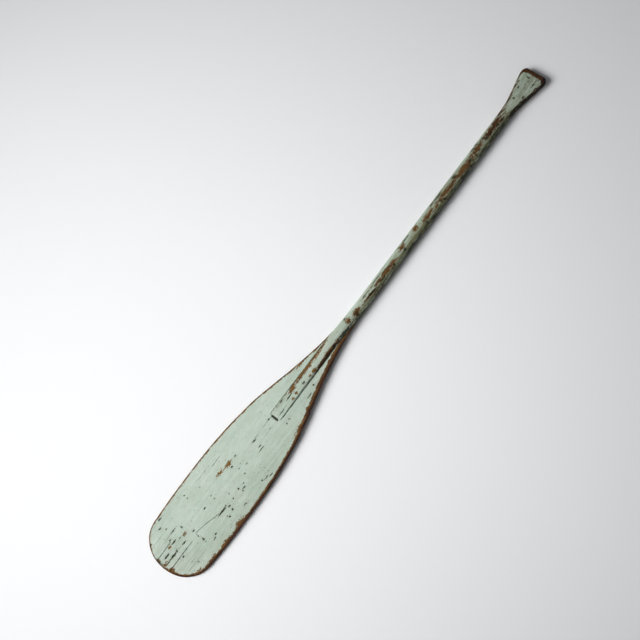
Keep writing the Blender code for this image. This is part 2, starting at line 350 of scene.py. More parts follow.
def marked(station, across, marks, softness=1.0):
    """How strongly the marks cover each place, 1 in the middle of a mark and 0.5 at its edge."""
    total = np.zeros(len(station))
    for mark_station, mark_across, length, width in marks:
        along = (station / MM - mark_station) / (length / 2)
        beside = (across / MM - mark_across) / (width / 2)
        total = np.maximum(total, np.exp(-math.log(2) * np.hypot(along, beside) ** (2.0 / softness)))
    return total


def turned_over(marks, shift):
    """The same marks for the back, mirrored and moved along so that the back isn't a copy of the front."""
    return tuple((mark[0] + shift * math.sin(mark[0] * 0.37), -mark[1] * 0.8) + mark[2:] for mark in marks)


def new_piece(name, vertices, faces):
    """A mesh object from an array of points and a list of faces."""
    mesh = bpy.data.meshes.new(name)
    mesh.from_pydata(vertices.tolist(), [], faces)
    mesh.validate()
    mesh.update()
    piece = bpy.data.objects.new(name, mesh)
    bpy.context.scene.collection.objects.link(piece)
    return piece


def cut(piece, tools, operation="DIFFERENCE"):
    """Applies one exact Boolean for each tool and removes the tools."""
    for tool in tools:
        modifier = piece.modifiers.new("cut", "BOOLEAN")
        modifier.operation = operation
        modifier.solver = "EXACT"
        modifier.object = tool
    graph = bpy.context.evaluated_depsgraph_get()
    made = bpy.data.meshes.new_from_object(piece.evaluated_get(graph))
    piece.modifiers.clear()
    piece.data = made
    for tool in tools:
        bpy.data.objects.remove(tool, do_unlink=True)


def block(low, high):
    """A box between two corners, to cut with."""
    bpy.ops.mesh.primitive_cube_add(size=1)
    made = bpy.context.object
    made.scale = [b - a for a, b in zip(low, high)]
    made.location = [(a + b) / 2 for a, b in zip(low, high)]
    bpy.context.view_layer.update()
    return made


def vertex_array(piece):
    """The piece's points as an array."""
    places = np.empty(len(piece.data.vertices) * 3)
    piece.data.vertices.foreach_get("co", places)
    return places.reshape(-1, 3)


def store_wear_and_shade(piece, **fields):
    """Stores each field, wear and painted shade among them, one value for each point, for the materials to
    read.
    """
    for name, values in fields.items():
        attribute = piece.data.attributes.new(name, "FLOAT", "POINT")
        attribute.data.foreach_set("value", np.clip(values, -4, 1.5).astype(np.float32))


def smooth_shade(piece, angle):
    """Smooth shading, with edges sharper than the angle kept sharp."""
    piece.data.polygons.foreach_set("use_smooth", [True] * len(piece.data.polygons))
    piece.data.set_sharp_from_angle(angle=math.radians(angle))


# ---- blade


def nick_depth(station, side, seed):
    """How far wear has eaten into the blade's edge."""
    points = np.column_stack([station, side * 0.4, np.zeros_like(station)])
    broad = 0.16 * MM * (1 + ripple(points, 12 * MM, 1.0, seed))
    depth = broad + 0.08 * MM * (1 + ripple(points, 4 * MM, 1.0, seed))
    for nick_station, nick_side, length, deep in EDGE_NICKS:
        reach = np.exp(-(((station / MM - nick_station) / (length / 2)) ** 2))
        depth += np.where(side == nick_side, deep * MM * reach, 0)
    return np.maximum(depth, 0)


def blade_outline(seed):
    """The worn outline as a closed loop (x, y), with each point's inward direction."""
    half = resampled(blade_edge_curve(), 1.5 * MM)
    station = np.concatenate([half[:, 0], half[:0:-1, 0]])
    across = np.concatenate([half[:, 1], -half[:0:-1, 1]])
    loop = np.column_stack([TIP_X + station, across])
    run = np.roll(loop, -1, axis=0) - np.roll(loop, 1, axis=0)
    inward = np.column_stack([run[:, 1], -run[:, 0]])
    inward /= np.linalg.norm(inward, axis=1)[:, None]
    depth = nick_depth(station, np.where(across >= 0, 1, -1), seed)
    return loop + inward * depth[:, None], inward


def tree_of(points):
    """A search tree over points (x, y)."""
    tree = kdtree.KDTree(len(points))
    for index, (x, y) in enumerate(points.tolist()):
        tree.insert((x, y, 0), index)
    tree.balance()
    return tree


def distances(tree, points):
    """How far each point (x, y) is from the nearest point in the tree."""
    return np.array([tree.find((x, y, 0))[2] for x, y in points.tolist()])


def edge_tree_of(loop):
    """A search tree over close points round the outline."""
    return tree_of(resampled(np.vstack([loop, loop[:1]]), 0.5 * MM))


def grid(low, high, step_x, step_y):
    """Staggered grid points over a rectangle."""
    columns = np.arange(low[0], high[0], step_x)
    rows = np.arange(low[1], high[1], step_y)
    x, y = np.meshgrid(columns, rows)
    x = x + (np.arange(len(rows)) % 2)[:, None] * step_x / 2
    return np.column_stack([x.ravel(), y.ravel()])


def rim_points(loop, inward, edge_tree):
    """The outline, and rings of points inside it."""
    rings = [loop]
    for offset in RIM_RINGS:
        ring = loop + inward * offset * MM
        rings.append(ring[distances(edge_tree, ring) > offset * 0.85 * MM])
    return np.vstack(rings)


def split_points(splits):
    """Lines of points down each split."""
    rows = []
    for line, width in splits:
        path = resampled(np.array([(TIP_X + s * MM, y * MM) for s, y in line]), 1.0 * MM)
        run = np.gradient(path, axis=0)
        beside = np.column_stack([-run[:, 1], run[:, 0]]) / np.linalg.norm(run, axis=1)[:, None]
        rows += [path + beside * share * width * MM for share in SPLIT_ROWS]
    return rows


def mark_points(marks):
    """A close grid of points over each mark."""
    grids = []
    for station, across, length, width in marks:
        middle = np.array((TIP_X + station * MM, across * MM))
        reach = np.array((length / 2 + 1.5, width / 2 + 1.5)) * MM
        grids.append(grid(middle - reach, middle + reach, 0.9 * MM, 0.8 * MM))
    return grids


def face_points(loop, inward, marks, splits):
    """Points on the blade's face: rings along the rim, then close points at the marks and a wide grid."""
    edge_tree = edge_tree_of(loop)
    rim = rim_points(loop, inward, edge_tree)
    rim_tree = tree_of(rim)
    close = np.vstack(split_points(splits) + mark_points(marks))
    _, first = np.unique(np.round(close / (0.45 * MM)), axis=0, return_index=True)
    close = close[np.sort(first)]
    close_tree = tree_of(close)
    wide = grid(loop.min(axis=0), loop.max(axis=0), 2.2 * MM, 1.7 * MM)
    wide = wide[distances(close_tree, wide) > 1.3 * MM]
    both = np.vstack([close, wide])
    edge = blade_edge_curve()
    room = np.interp(both[:, 0] - TIP_X, edge[:, 0], edge[:, 1]) - np.abs(both[:, 1])
    both = both[room > 0.2 * MM]
    both = both[distances(rim_tree, both) > 0.55 * MM]
    deep = distances(edge_tree, both)
    in_mark = distances(close_tree, both) < 1e-9
    both = both[(deep > 5.2 * MM) | (in_mark & (deep > 0.5 * MM))]
    return rim, both, edge_tree


def rim_fall(distance):
    """How far the face falls towards the rim."""
    part = np.clip(1.0 - distance / RIM_RADIUS, 0, 1)
    return (FACE_HEIGHT - RIM_HEIGHT) * (1.0 - np.sqrt(np.maximum(1.0 - part**2.3, 0)))


def split_depth(places, splits):
    """0 away from the splits and 1 down the middle of one, fading at its ends."""
    total = np.zeros(len(places))
    for line, width in splits:
        path = np.array([(TIP_X + s * MM, y * MM) for s, y in line])
        total = np.maximum(total, np.exp(-((distance_to_line(places, path) / (0.45 * width * MM)) ** 2)))
    return total


def fork_outline():
    """The fork's outline on the blade's face, as points (station, across) in millimetres."""
    rounded_end = FORK_END + np.linspace(0, 1, 12) ** 2 * 6 * MM
    station = np.concatenate([rounded_end, rows_between(0.470, THROAT, 4 * MM)])
    reach = half_width(station) * FORK_SHARE_ON_FACE
    middle = fork_offset(station)
    left = np.column_stack([station, middle + reach])
    right = np.column_stack([station, middle - reach])
    return tuple(tuple(point) for point in np.vstack([left[::-1], right]) / MM)


def face_height(flat, distance, wear, splits, seed):
    """The height of the worn face above the paddle's middle, at places (x, y)."""
    wood, dark = wear
    places = np.column_stack([flat, np.zeros(len(flat))])
    height = FACE_HEIGHT - rim_fall(distance)
    height -= 0.75 * MM * split_depth(flat, splits)
    height -= 0.28 * MM * blend(dark, 0.40, 0.65) + 0.20 * MM * blend(wood, 0.42, 0.60)
    height -= joint_groove(flat[:, 0] - TIP_X, flat[:, 1])
    height += 0.05 * MM * ripple(places, 25 * MM, 2.0, seed) - 0.05 * MM
    height += 0.05 * MM * ripple(places, 3 * MM, 9.0, seed + 5) * blend(wood, 0.2, 0.6)
    return np.maximum(height, CORE_HEIGHT + GLUE_LINE + 0.4 * MM)


def face_veneer(name, marks, bare, splits, seed):
    """A face ply facing +Z, with its worn rim, splits and chips as real relief."""
    loop, inward = blade_outline(seed)
    joint = ((fork_outline(), 1.1),)
    rim, inner, edge_tree = face_points(loop, inward, marks + bare, splits + joint)
    flat = np.vstack([rim, inner])
    count = len(loop)
    found = delaunay_2d_cdt([Vector(p) for p in flat.tolist()], [], [list(range(count))], 1, 1e-7)
    flat = np.array([tuple(p) for p in found[0]])
    distance = distances(edge_tree, flat)
    wear = blade_wear(flat, distance, marks, bare, splits, seed)
    height = face_height(flat, distance, wear, splits, seed)
    top = np.column_stack([flat, AXIS_Z + height])
    base = np.column_stack([flat[:count], np.full(count, AXIS_Z + CORE_HEIGHT + GLUE_LINE)])
    faces = [tuple(face) for face in found[2]]
    bottom = len(top)
    for index in range(count):
        following = (index + 1) % count
        faces.append((following, index, bottom + index, bottom + following))
    faces.append(tuple(range(bottom, bottom + count)))
    piece = new_piece(name, np.vstack([top, base]), faces)
    tidy_normals(piece)
    wear_and_shade_blade(piece, marks, bare, splits, seed)
    return piece


def tidy_normals(piece):
    """Points every face outwards and drops loose points."""
    form = bmesh.new()
    form.from_mesh(piece.data)
    bmesh.ops.delete(form, geom=[v for v in form.verts if not v.link_faces], context="VERTS")
    bmesh.ops.recalc_face_normals(form, faces=form.faces)
    form.to_mesh(piece.data)
    form.free()


def core_ply():
    """The middle ply, whose edge shows all round the blade."""
    loop, inward = blade_outline(SEED_FRONT + 1)
    count = len(loop)
    levels = np.array((-1.0, -0.8, -0.3, 0.3, 0.8, 1.0)) * (CORE_HEIGHT - GLUE_LINE / 2)
    rings = []
    for level in levels:
        places = np.column_stack([loop, np.full(count, level)])
        frayed = 0.08 * MM * np.abs(ripple(places, 2.5 * MM, 4.0, SEED_CORE))
        back = 0.25 * MM * (level / CORE_HEIGHT) ** 4 + frayed
        rings.append(np.column_stack([loop + inward * back[:, None], np.full(count, level)]))
    return loft("worn_blade_core", np.stack(rings))


# ---- shaft and grip


def section_rings(station, count):
    """Cross-sections of the shaft, fork or grip, as an array (row, point, xyz)."""
    fine = count * 4
    angle = np.linspace(0, 2 * math.pi, 1440, endpoint=False) - math.pi / 2
    width = half_width(station)
    slant = GRIP_SLANT * blend(station, SLANT_START, SLANT_FULL)
    nose = quarter_round(station - (GRIP_STRAIGHT_END - GRIP_NOSE_RADIUS), GRIP_NOSE_RADIUS)
    rings = np.empty((len(station), count, 3))
    wave = np.arange(fine // 2 + 1)
    for row, place in enumerate(station):
        y = width[row] * np.cos(angle)
        flat = half_height(place - slant[row] * y) * max(nose[row], 0.15)
        z = np.clip(SHAFT_RADIUS * np.sin(angle), -flat, flat)
        line = resampled(np.column_stack([np.append(y, y[0]), np.append(z, z[0])]), 0.05 * MM)
        lengths = np.concatenate([[0], np.cumsum(np.linalg.norm(np.diff(line, axis=0), axis=1))])
        even = np.linspace(0, lengths[-1], fine, endpoint=False)
        rounding = edge_rounding(place)
        soften = np.exp(-2 * (math.pi * rounding * wave / lengths[-1]) ** 2)
        for axis in range(2):
            level = np.interp(even, lengths, line[:, axis])
            rings[row, :, axis + 1] = np.fft.irfft(np.fft.rfft(level) * soften, fine)[::4]
        rings[row, :, 0] = TIP_X + place - slant[row] * rings[row, :, 1]
    rings[:, :, 1] += fork_offset(station)[:, None]
    return rings


def edge_rounding(station):
    """How soft the edges between the flats and the round are, at a station."""
    return (0.45 + 0.5 * blend(station, 0.50, 0.68) + 0.3 * blend(station, 1.38, 1.46)) * MM


def rows_between(start, end, step):
    """Even rows about one step apart, without the last."""
    return np.linspace(start, end, max(2, round((end - start) / step)), endpoint=False)


def shaft_stations(first):
    """Rows along the shaft, close together at its two ends."""
    corner_end = FORK_END + FORK_CORNER_RADIUS
    nose_start = GRIP_STRAIGHT_END - GRIP_CORNER_RADIUS
    quarter = np.radians(np.linspace(0, 90, 19))
    rows = np.concatenate(
        [
            corner_end - FORK_CORNER_RADIUS * np.cos(quarter[:-1]),
            rows_between(corner_end, nose_start, 1.7 * MM),
            nose_start + GRIP_CORNER_RADIUS * np.sin(np.radians(np.linspace(0, 88.5, 26))),
        ]
    )
    return rows[rows >= first]


def hand_shaped(rings, seed):
    """Small dents and flats left by the spokeshave and by use."""
    shape = rings.shape
    places = rings.reshape(-1, 3)
    centre = rings.mean(axis=1, keepdims=True)
    outward = rings - centre
    outward[:, :, 0] = 0
    reach = np.linalg.norm(outward, axis=2, keepdims=True)
    outward = outward / np.maximum(reach, 1e-6)
    lumps = ripple(places, 16 * MM, 5.0, seed).reshape(shape[:2])
    knocks = ripple(places, 5 * MM, 2.0, seed + 7).reshape(shape[:2])
    depth = 0.10 * MM * (lumps - 0.6) - 0.22 * MM * np.maximum(np.abs(knocks) - 0.35, 0)
    wood, dark = round_wear_and_shade(places - (TIP_X, 0, 0), seed)
    worn = 0.20 * blend(wood, 0.42, 0.60) + 0.22 * blend(dark, 0.42, 0.65)
    depth -= MM * worn.reshape(shape[:2])
    shaped = rings + outward * depth[:, :, None]
    shaped[:, :, 0] = np.minimum(shaped[:, :, 0], cad_high.x - 0.1 * MM)
    return shaped


def loft(name, rings):
    """A closed piece through the cross-sections, with a flat face at each end."""
    rows, count, _ = rings.shape
    faces = []
    for row in range(rows - 1):
        low = row * count
        for index in range(count):
            following = (index + 1) % count
            faces.append((low + index, low + count + index, low + count + following, low + following))
    faces.append(tuple(range(count)))
    faces.append(tuple(range(rows * count - 1, (rows - 1) * count - 1, -1)))
    piece = new_piece(name, rings.reshape(-1, 3) + (0, 0, AXIS_Z), faces)
    tidy_normals(piece)
    return piece


def shaft_piece():
    """The shaft with its slot and the seats of the two ears."""
    rings = hand_shaped(section_rings(shaft_stations(0.0), 104), SEED_SHAFT)
    piece = loft("worn_shaft", rings)
    slot_half = FACE_HEIGHT + 0.1 * MM
    slot_low = (TIP_X, -0.05, AXIS_Z - slot_half)
    slot_high = (TIP_X + SLOT_END + 0.2 * MM, 0.05, AXIS_Z + slot_half)
    tools = [block(slot_low, slot_high)]
    for side in (1, -1):
        near, far = sorted((side * (EAR_SEAM - 0.05 * MM), side * 0.06))
        tools.append(block((TIP_X + EAR_START - 0.1 * MM, near, -0.03), (LENGTH, far, 0.07)))
    cut(piece, tools)
    return piece


def ear_piece(side, label):
    """An ear: the grip's outer shape, on its own side of the seam."""
    rings = hand_shaped(section_rings(shaft_stations(FACET_START - 0.02), 150), SEED_SHAFT)
    piece = loft(f"worn_ear_{label}", rings)
    near, far = sorted((side * (EAR_SEAM + 0.05 * MM), side * 0.06))
    cut(piece, [block((TIP_X + EAR_START, near, -0.03), (LENGTH, far, 0.07))], "INTERSECT")
    return piece


# ---- wear and painted shade


def rim_wear(flat, distance, seed):
    """Bare wood along the blade's rim, wider on the -Y side. Above 0.5 it shows."""
    station = flat[:, 0] - TIP_X
    along = np.column_stack([station, np.sign(flat[:, 1]) * 0.3, np.zeros(len(flat))])
    right = blend(-flat[:, 1], -0.010, 0.030)
    shoulder = 3.0 * blend(station, 0.42, 0.50) + 3.0 * blend(station, 0.62, 0.66)
    width = 3.8 + 3.3 * right + right * shoulder
    width = width * MM + 1.6 * MM * ripple(along, 15 * MM, 1.0, seed)
    return 0.5 + (width - distance) / (3.0 * MM)


def blade_wear(flat, distance, marks, bare, splits, seed):
    """How far bare wood and dark chips show at places (x, y) on a face ply. Above 0.5 they show."""
    places = np.column_stack([flat[:, 0] - TIP_X, flat[:, 1], np.zeros(len(flat))])
    rim = rim_wear(flat, distance, seed)
    rim = rim + 0.8 * torn(places, seed + 9) * blend(rim, -1.2, 0.3) * blend(distance, 0, 2 * MM)
    wood = np.maximum(wear_field(places, bare, seed + 1), rim)
    dark = np.maximum(wear_field(places, marks, seed + 4), 0.95 * split_depth(flat, splits))
    return wood, dark


def wear_and_shade_blade(piece, marks, bare, splits, seed):
    """Wear values and painted shade on a face ply whose face is towards +Z."""
    places = vertex_array(piece)
    flat = places[:, :2]
    station = places[:, 0] - TIP_X
    across = places[:, 1]
    loop, _ = blade_outline(seed)
    distance = distances(edge_tree_of(loop), flat)
    hidden = places[:, 2] - AXIS_Z < CORE_HEIGHT + 2 * GLUE_LINE
    wood, dark = blade_wear(flat, distance, marks, bare, splits, seed)
    outer = blend(distance, 6.5 * MM, 1.5 * MM)
    right = blend(-across, -0.01, 0.05)
    patches = 0.5 + 0.5 * ripple(places - (TIP_X, 0, 0), 9 * MM, 3.0, seed + 21)
    shoulder = 0.25 * blend(station, 0.45, 0.60) + 0.35 * blend(station, 0.60, 0.66)
    # Darkening of the bare wood: a little everywhere, a little more at the +Y rim, and painted shade along
    # the -Y side, in patches, at its shoulder and most at its rim.
    burnt = 0.05 + right * (0.34 * patches + shoulder) + outer * (0.14 + 0.74 * right)
    # Darkening of the paint: painted shade over the -Y side, plus more darkening towards the throat and a
    # little towards the tip.
    soil = 0.01 + 0.14 * blend(-across, -0.03, 0.09) + 0.14 * blend(station, 0.50, 0.72)
    wood = np.where(hidden, 1, wood)
    dark = np.maximum(dark, joint_line_and_shadow(station, across))
    soil = soil + 0.03 * blend(station, 0.42, 0.28)
    checked = np.maximum(blend(0.14 - station, 0, 0.09), 0.22)
    store_wear_and_shade(piece, wood=wood, dark=dark, burnt=burnt, soil=soil, checked=checked)


def joint_line_and_shadow(station, across):
    """The dark line in the blade's paint round the fork, widest past the fork's end: a dark joint, with
    painted shadow on its -Y side and in the gap past the end.
    """
    cheek = fork_edge_distance(station, across)
    past_end = (station < FORK_END + 1 * MM) & (np.abs(across - FORK_OFFSET) < 14 * MM)
    reach = np.where(past_end, 3.8 * MM, 1.3 * MM)
    return np.exp(-((cheek / reach) ** 2)) * joint_strength(station, across)


def fork_edge_distance(station, across):
    """Distance outwards from the fork's outline on the blade's face."""
    reach = half_width(np.maximum(station, FORK_END)) * FORK_SHARE_ON_FACE
    side = np.abs(across - fork_offset(station)) - reach
    end = FORK_END - station
    return np.where(end > 0, np.hypot(np.maximum(side, 0), end), np.abs(side))


def joint_strength(station, across):
    """How dark the joint round the fork is, darkest past the fork's end: a dark joint line on the +Y side,
    and painted shadow along the -Y side and in the gap past the end.
    """
    beside = across - FORK_OFFSET
    # Past the fork's end and along its -Y side the darkening is painted shadow; on the +Y side it is a dark
    # joint line.
    end = 1.3 * (station < FORK_END + 1 * MM) * blend(12.0 * MM - np.abs(beside), 0, 3 * MM)
    right = 0.80 * (beside < 0) * blend(station, 0.458, 0.480) * (1 - 0.4 * blend(station, 0.64, 0.68))
    left = (beside > 0) * (0.90 - 0.20 * blend(station, 0.52, 0.60))
    return np.maximum(end, np.maximum(right, left) * (station > FORK_END))


def joint_groove(station, across):
    """The depth of the groove in the blade's face round the fork, deepest past the fork's end."""
    cheek = fork_edge_distance(station, across)
    strength = joint_strength(station, across)
    past_end = (station < FORK_END + 1 * MM) * np.exp(-((cheek / (3.0 * MM)) ** 4))
    return strength * MM * (0.35 * np.exp(-((cheek / (0.9 * MM)) ** 2)) + 0.9 * past_end)


def two_sided(places, front_marks, back_marks, seed):
    """Torn marks on the front and on the back, fading out towards the sides."""
    facing = blend(np.abs(places[:, 2]), 1 * MM, 4 * MM)
    front = wear_field(places, front_marks, seed)
    back = wear_field(places, back_marks, seed + 6)
    return np.where(places[:, 2] > 0, front, back) * facing


def end_band(places, seed):
    """Bare wood over the grip's end, widest at the corners."""
    station, across, _ = places.T
    width = 14.0 * MM + 4 * MM * blend(np.abs(across), 14 * MM, 30 * MM)
    width = width + 6 * MM * blend(-across, 20 * MM, 32 * MM)
    end = station + GRIP_SLANT * across
    return 0.5 + (end - (LENGTH - width)) / (2.5 * MM) + 0.8 * torn(places, seed + 2)


def rubbed_through(places, seed):
    """Bare wood where hands rub the shaft, in long patches."""
    station, across, _ = places.T
    handled = blend(station, 0.70, 0.80) * blend(station, 1.44, 1.40)
    ease = 0.28 - 0.14 * blend(across, 6 * MM, 11 * MM)
    return handled * ease + (0.30 + 0.06 * handled) * ripple(places, 7 * MM, 6.0, seed + 8)


def shaft_grime_and_shade(places, side, seed):
    """Dark chips and grime on the shaft's sides, and painted shade as dark chips and darker paint on the -Y
    side and on the -Y side of the grip's neck.
    """
    station, across, height = places.T
    below_flat = np.minimum(half_height(station), SHAFT_RADIUS) - np.abs(height)
    below_flat = below_flat - 2.2 * MM * blend(station, 0.66, 0.62)
    # Painted shade: the -Y side below the flats, and the -Y side of the grip's neck, get dark chips and
    # darker paint.
    right = blend(below_flat, 0.4 * MM, 3.6 * MM) * (across < fork_offset(station))
    beyond = -across - half_width(station) + 10 * MM
    olive = blend(beyond, 0, 4 * MM) * blend(station, 1.370, 1.395)
    shade = np.maximum(np.maximum(right, side), olive)
    patches = 0.45 * ripple(places, 5 * MM, 4.0, seed + 11) * shade
    return np.maximum(0.52 * right + 0.16 * side, 0.64 * olive) + patches


def round_wear_and_shade(places, seed):
    """How far bare wood and dark chips show on the shaft and grip, at places (station, across, height). The
    dark value also holds painted shade on the -Y side and a painted shadow at the fork's end.
    """
    station, across, height = places.T
    bare_marks = SHAFT_BARE + GRIP_BARE
    dark_marks = SHAFT_DARK + GRIP_DARK
    wood = 1.2 * two_sided(places, bare_marks, turned_over(bare_marks, 23), seed)
    dark = 1.1 * two_sided(places, dark_marks, turned_over(dark_marks, 31), seed + 3)
    tongue = 1.45 * two_sided(places, TONGUE_BARE, (), seed + 1)
    tongue_middle = blend(10 * MM - np.abs(across - FORK_OFFSET), 0, 2 * MM)
    # Painted shadow: the tongue's top just behind its end is darkened, widening the dark line of the gap
    # past the end.
    tongue_end_shadow = blend(FORK_END + 2.8 * MM - station, 0, 0.8 * MM) * tongue_middle
    side = blend(np.abs(height), 10 * MM, 3 * MM)
    bare_side = 0.50 * blend(station, 1.385, 1.43) + 0.26 * blend(station, 0.75, 0.90)
    edges = side * bare_side + 0.25 * side * torn(places, seed + 5)
    bare = [wood, tongue, end_band(places, seed), rubbed_through(places, seed), edges]
    dirty_and_shaded = [dark, 1.2 * tongue_end_shadow, shaft_grime_and_shade(places, side, seed)]
    return np.maximum.reduce(bare), np.maximum.reduce(dirty_and_shaded)


def round_burnt(station, across):
    """How dark the bare wood is on the shaft and grip, darkest on the grip, with painted shade along the -Y
    side.
    """
    beside = -across - 14 * MM * blend(station, 1.42, 1.47)
    burnt = 0.12 + 0.18 * blend(station, 0.68, 0.72) + 0.15 * blend(station, 1.00, 1.20)
    burnt = burnt + 0.40 * blend(station, 1.24, 1.35) - 0.10 * blend(station, 1.485, 1.505)
    # Painted shade: bare wood along the -Y edge is darkened, starting further out on the wide grip.
    return burnt + 0.4 * blend(beside, 4 * MM, 12 * MM)


def round_soil(places, seed):
    """How much the paint of the shaft and grip is darkened: most along the shaft, less on the grip with a
    mottle there, and as painted shade on the shaft's -Y side.
    """
    station, across, _ = places.T
    soil = 0.12 + 0.22 * blend(station, 0.60, 0.80) + 0.26 * blend(station, 0.78, 1.00)
    soil = soil - 0.22 * blend(station, 1.36, 1.43) + 0.10 * blend(station, 1.43, 1.45)
    shaft = blend(station, 0.70, 0.80) * blend(station, 1.43, 1.38)
    # Painted shade darkens the shaft's -Y side, and painted light takes darkening off its +Y side.
    soil = soil + shaft * (0.54 * blend(-across, -1 * MM, 9 * MM) - 0.20 * blend(across, 4 * MM, 11 * MM))
    return soil + 0.20 * blend(station, 1.42, 1.46) * ripple(places, 6 * MM, 2.0, seed + 14)


def wear_and_shade_round(piece, seed):
    """Wear values and painted shade on the shaft and the ears."""
    places = vertex_array(piece) - (TIP_X, 0, AXIS_Z)
    station, across, _ = places.T
    wood, dark = round_wear_and_shade(places, seed)
    seam = np.exp(-(((np.abs(across) - EAR_SEAM) / (0.8 * MM)) ** 2))
    seam = seam * blend(station, EAR_START, EAR_START + 0.02)
    dark = np.maximum(dark, 0.35 * seam)
    burnt = round_burnt(station, across)
    soil = round_soil(places, seed)
    checked = 0.35 + 0.3 * blend(0.60 - station, 0, 0.10)
    store_wear_and_shade(piece, wood=wood, dark=dark, burnt=burnt, soil=soil, checked=checked)


# ---- materials


class Graph:
    """A material, and short names for the nodes that the materials use."""

    def __init__(self, name):
        """Starts a new material."""
        self.material = bpy.data.materials.new(name)
        self.material.use_nodes = True
        self.tree = self.material.node_tree
        self.shader = self.tree.nodes["Principled BSDF"]
        self.place = self.node("TexCoord", "Object", {})

    def put(self, socket, value):
        """Links another node's output to a socket, or sets the socket's value."""
        if isinstance(value, bpy.types.NodeSocket):
            self.tree.links.new(value, socket)
        else:
            socket.default_value = value

    def shade(self, **values):
        """Sets the shader's inputs, whose names are given with _ for each space."""
        for name, value in values.items():
            self.put(self.shader.inputs[name.replace("_", " ")], value)

    def node(self, kind, output, values, **settings):
        """Adds a node with these settings and input values, and gives one of its outputs."""
        made = self.tree.nodes.new("ShaderNode" + kind)
        for name, setting in settings.items():
            setattr(made, name, setting)
        for name, value in values.items():
            self.put(made.inputs[name], value)
        return made.outputs[output]

    def attribute(self, name):
        """The field that store_wear_and_shade stored on the piece."""
        return self.node("Attribute", "Fac", {}, attribute_name=name)

    def noise(self, scale, stretch, detail, roughness, distortion=0.0):
        """Noise from 0 to 1, with lumps of 1/scale metres, drawn out along the grain."""
        scales = (scale / stretch, scale, scale)
        place = self.node("Mapping", "Vector", {"Vector": self.place, "Scale": scales})
        values = {"Vector": place, "Scale": 1.0, "Detail": detail}
        values.update({"Roughness": roughness, "Distortion": distortion})
        return self.node("TexNoise", "Fac", values)

    def math(self, operation, a, b):
        """The sum, difference or product of two values."""
        return self.node("Math", 0, {0: a, 1: b}, operation=operation)

    def times(self, a, b):
        """The product of two values."""
        return self.math("MULTIPLY", a, b)

    def total(self, *parts):
        """The sum of values, each times its weight."""
        result, *others = [self.times(value, weight) for value, weight in parts]
        for other in others:
            result = self.math("ADD", result, other)
        return result

    def step(self, value, low, high):
        """0 below low and 1 above high, with a smooth rise between."""
        values = {"Value": value, "From Min": low, "From Max": high}
        return self.node("MapRange", "Result", values, interpolation_type="SMOOTHSTEP")

    def spread(self, value):
        """Noise stretched to fill 0 to 1."""
        return self.step(value, 0.33, 0.67)

    def mix(self, factor, a, b, kind="RGBA"):
        """A colour between a and b."""
        return self.node("Mix", "Result", {"Factor": factor, "A": a, "B": b}, data_type=kind)

    def level(self, factor, a, b):
        """A number between a and b."""
        return self.mix(factor, a, b, "FLOAT")

    def layer(self, base, cover, share, colour):
        """A colour over the base, as strong as its cover times its share."""
        return self.mix(self.times(cover, share), base, colour)

    def relief(self, height):
        """Bumps of this height in millimetres."""
        bumps = self.node("Bump", "Normal", {"Strength": 1.0, "Distance": MM, "Height": height})
        self.shade(Normal=bumps)


def wood_colour(graph, grain, figure):
    """Weathered brown wood, near black where it is burnt with old varnish and dirt, and where painted shade
    darkens it on the -Y side.
    """
    fresh = graph.mix(graph.spread(grain), WOOD_DEEP, WOOD_PALE)
    fresh = graph.mix(graph.spread(figure), WOOD_FIGURE, fresh)
    aged_and_shaded = graph.mix(graph.spread(figure), AGED_AND_SHADED_WOOD_DEEP, AGED_AND_SHADED_WOOD_PALE)
    return graph.mix(graph.attribute("burnt"), fresh, aged_and_shaded)


def paint_masks(graph, mottle):
    """Where each kind of wear, and painted shade, shows on the paint, from 0 to 1."""
    tear = graph.noise(500, 3.5, 4, 0.65)
    fine = graph.noise(1500, 3, 3, 0.6)
    check = graph.noise(430, 45, 3, 0.55)
    speck = graph.noise(380, 2.4, 3, 0.6)
    streak = graph.noise(140, 16, 4, 0.6)
    soil = graph.attribute("soil")
    ragged = graph.total((graph.spread(tear), 0.44), (graph.spread(fine), 0.16))
    ragged = graph.math("SUBTRACT", ragged, 0.30)
    wood_field = graph.math("ADD", graph.attribute("wood"), ragged)
    dark_field = graph.math("ADD", graph.attribute("dark"), ragged)
    loose = graph.math("ADD", speck, graph.times(soil, 0.07))
    return {
        "bare": graph.step(wood_field, 0.47, 0.53),
        "border": graph.step(wood_field, 0.30, 0.46),
        "yellowed": graph.step(wood_field, -1.6, 0.45),
        # Over the shaft's -Y side and past the fork's end, the chip and halo masks paint shade; the dirt
        # mask paints shade over the -Y side.
        "chip_and_shade": graph.step(dark_field, 0.40, 0.52),
        "halo_and_shade": graph.step(dark_field, 0.12, 0.42),
        "fleck": graph.step(loose, 0.645, 0.69),
        "lines": graph.times(graph.step(check, 0.54, 0.64), graph.attribute("checked")),
        "dirt_and_shade": graph.times(soil, graph.level(graph.spread(streak), 0.45, 1.45)),
        "streak": graph.spread(streak),
        "mottle": graph.spread(mottle),
    }


def paint_colour(graph, mask):
    """Mint paint in two tones, with dirt and painted shade, yellowed edges, fine cracks and flecks."""
    cloud = graph.noise(16, 1.5, 4, 0.6)
    paint = graph.mix(graph.spread(cloud), MINT_PALE, MINT_DEEP)
    paint = graph.layer(paint, mask["streak"], 0.45, MINT_STREAK)
    paint = graph.layer(paint, mask["mottle"], 0.36, MINT_MOTTLE)
    paint = graph.mix(mask["dirt_and_shade"], paint, GREEN_DIRT_AND_SHADE)
    paint = graph.layer(paint, mask["halo_and_shade"], 0.30, CHIP_HALO_AND_SHADE)
    paint = graph.layer(paint, mask["yellowed"], 0.26, YELLOWED_PAINT)
    paint = graph.layer(paint, mask["border"], 0.45, WORN_BORDER)
    paint = graph.layer(paint, mask["lines"], 0.50, CRACK_LINE)
    return graph.layer(paint, mask["fleck"], 0.70, FLECK)


